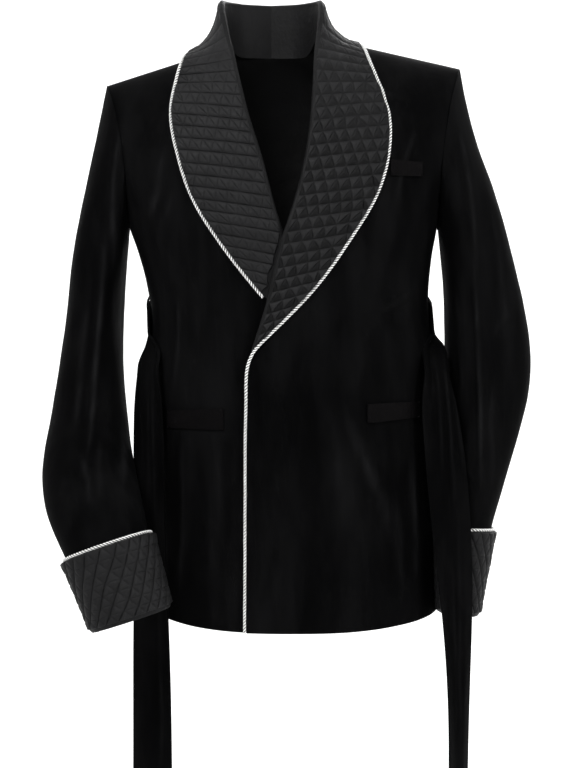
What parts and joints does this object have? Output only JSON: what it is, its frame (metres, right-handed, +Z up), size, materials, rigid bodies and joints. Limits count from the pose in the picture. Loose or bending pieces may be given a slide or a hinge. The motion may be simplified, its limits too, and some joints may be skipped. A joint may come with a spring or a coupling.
{
  "type": "smoking jacket",
  "caption": "Worn-form shawl-collar jacket with quilted satin lapels and turned-back cuffs, twisted-cord piping, welt pockets and an untied belt hanging at both sides.",
  "frame": {"origin": "midway between the shoulders at the base of the neck, where the wearer's shoulders and neck hold the jacket", "axes": "+Z up, -Y the way the wearer faces, +X the wearer's left"},
  "size_m": [0.6285, 0.2943, 1.058],
  "materials": {
    "velvet": "black cotton velvet, deep and soft",
    "satin": "charcoal satin, low sheen",
    "cord": "white twisted cord, matt"
  },
  "bodies": {
    "root": {"back": "velvet", "front_left": "velvet", "front_right": "velvet", "sleeve_left": "velvet", "sleeve_right": "velvet", "collar_left": "satin", "collar_right": "satin", "cuff_left": "satin", "cuff_right": "satin", "lapel_cord_left": "cord", "lapel_cord_right": "cord", "cuff_cord_left": "cord", "cuff_cord_right": "cord", "breast_welt": "satin", "hip_welt_left": "satin", "hip_welt_right": "satin", "belt": "velvet", "belt_loop_left": "velvet", "belt_loop_right": "velvet"}
  },
  "joints": []
}
